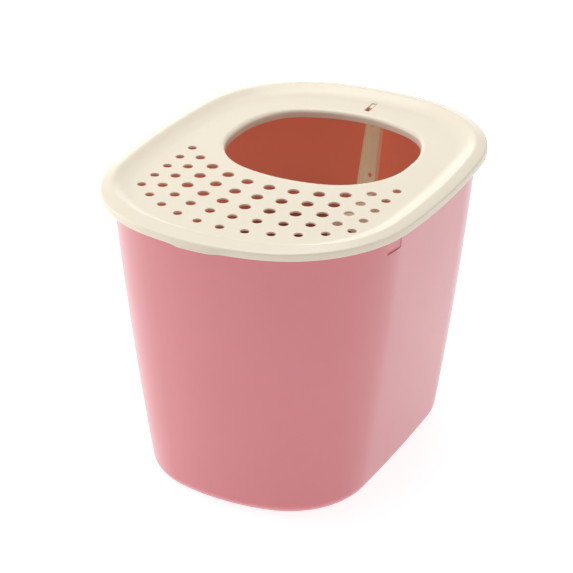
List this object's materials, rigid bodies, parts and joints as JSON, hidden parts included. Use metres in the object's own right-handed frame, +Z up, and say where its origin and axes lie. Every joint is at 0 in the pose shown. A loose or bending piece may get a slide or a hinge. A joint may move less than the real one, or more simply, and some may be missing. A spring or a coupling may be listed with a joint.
{
  "type": "cat litter box",
  "caption": "Top-entry cat litter box: a tapered oval tub, a lift-off lid with a large entry opening and rows of sieve holes, and a slotted scoop that hangs inside.",
  "frame": {"origin": "middle of the base, on the surface that the box stands on", "axes": "+Z up, +Y to the back where the scoop hangs, -Y to the front with the finger tab, +X to the right"},
  "size_m": [0.395, 0.5033, 0.3761],
  "materials": {
    "tub_plastic": "satin moulded polypropylene, dusty pink",
    "lid_plastic": "satin moulded polypropylene, warm cream",
    "scoop_plastic": "satin moulded polypropylene, warm cream",
    "foot_rubber": "soft matt rubber, pale grey"
  },
  "bodies": {
    "tub": {"tub": "tub_plastic", "foot_front_left": "foot_rubber", "foot_front_right": "foot_rubber", "foot_rear_left": "foot_rubber", "foot_rear_right": "foot_rubber"},
    "lid": {"lid": "lid_plastic"},
    "scoop": {"scoop": "scoop_plastic"}
  },
  "joints": [
    {"name": "lid_lift", "type": "slide", "parent": "tub", "child": "lid", "axis": [0, 0, 1], "range_m": [0, 0.4]},
    {"name": "scoop_swing", "type": "hinge", "parent": "lid", "child": "scoop", "pos_m": [0, 0.21235, 0.36575], "axis": [-1, 0, 0], "range_deg": [0, 35]}
  ]
}
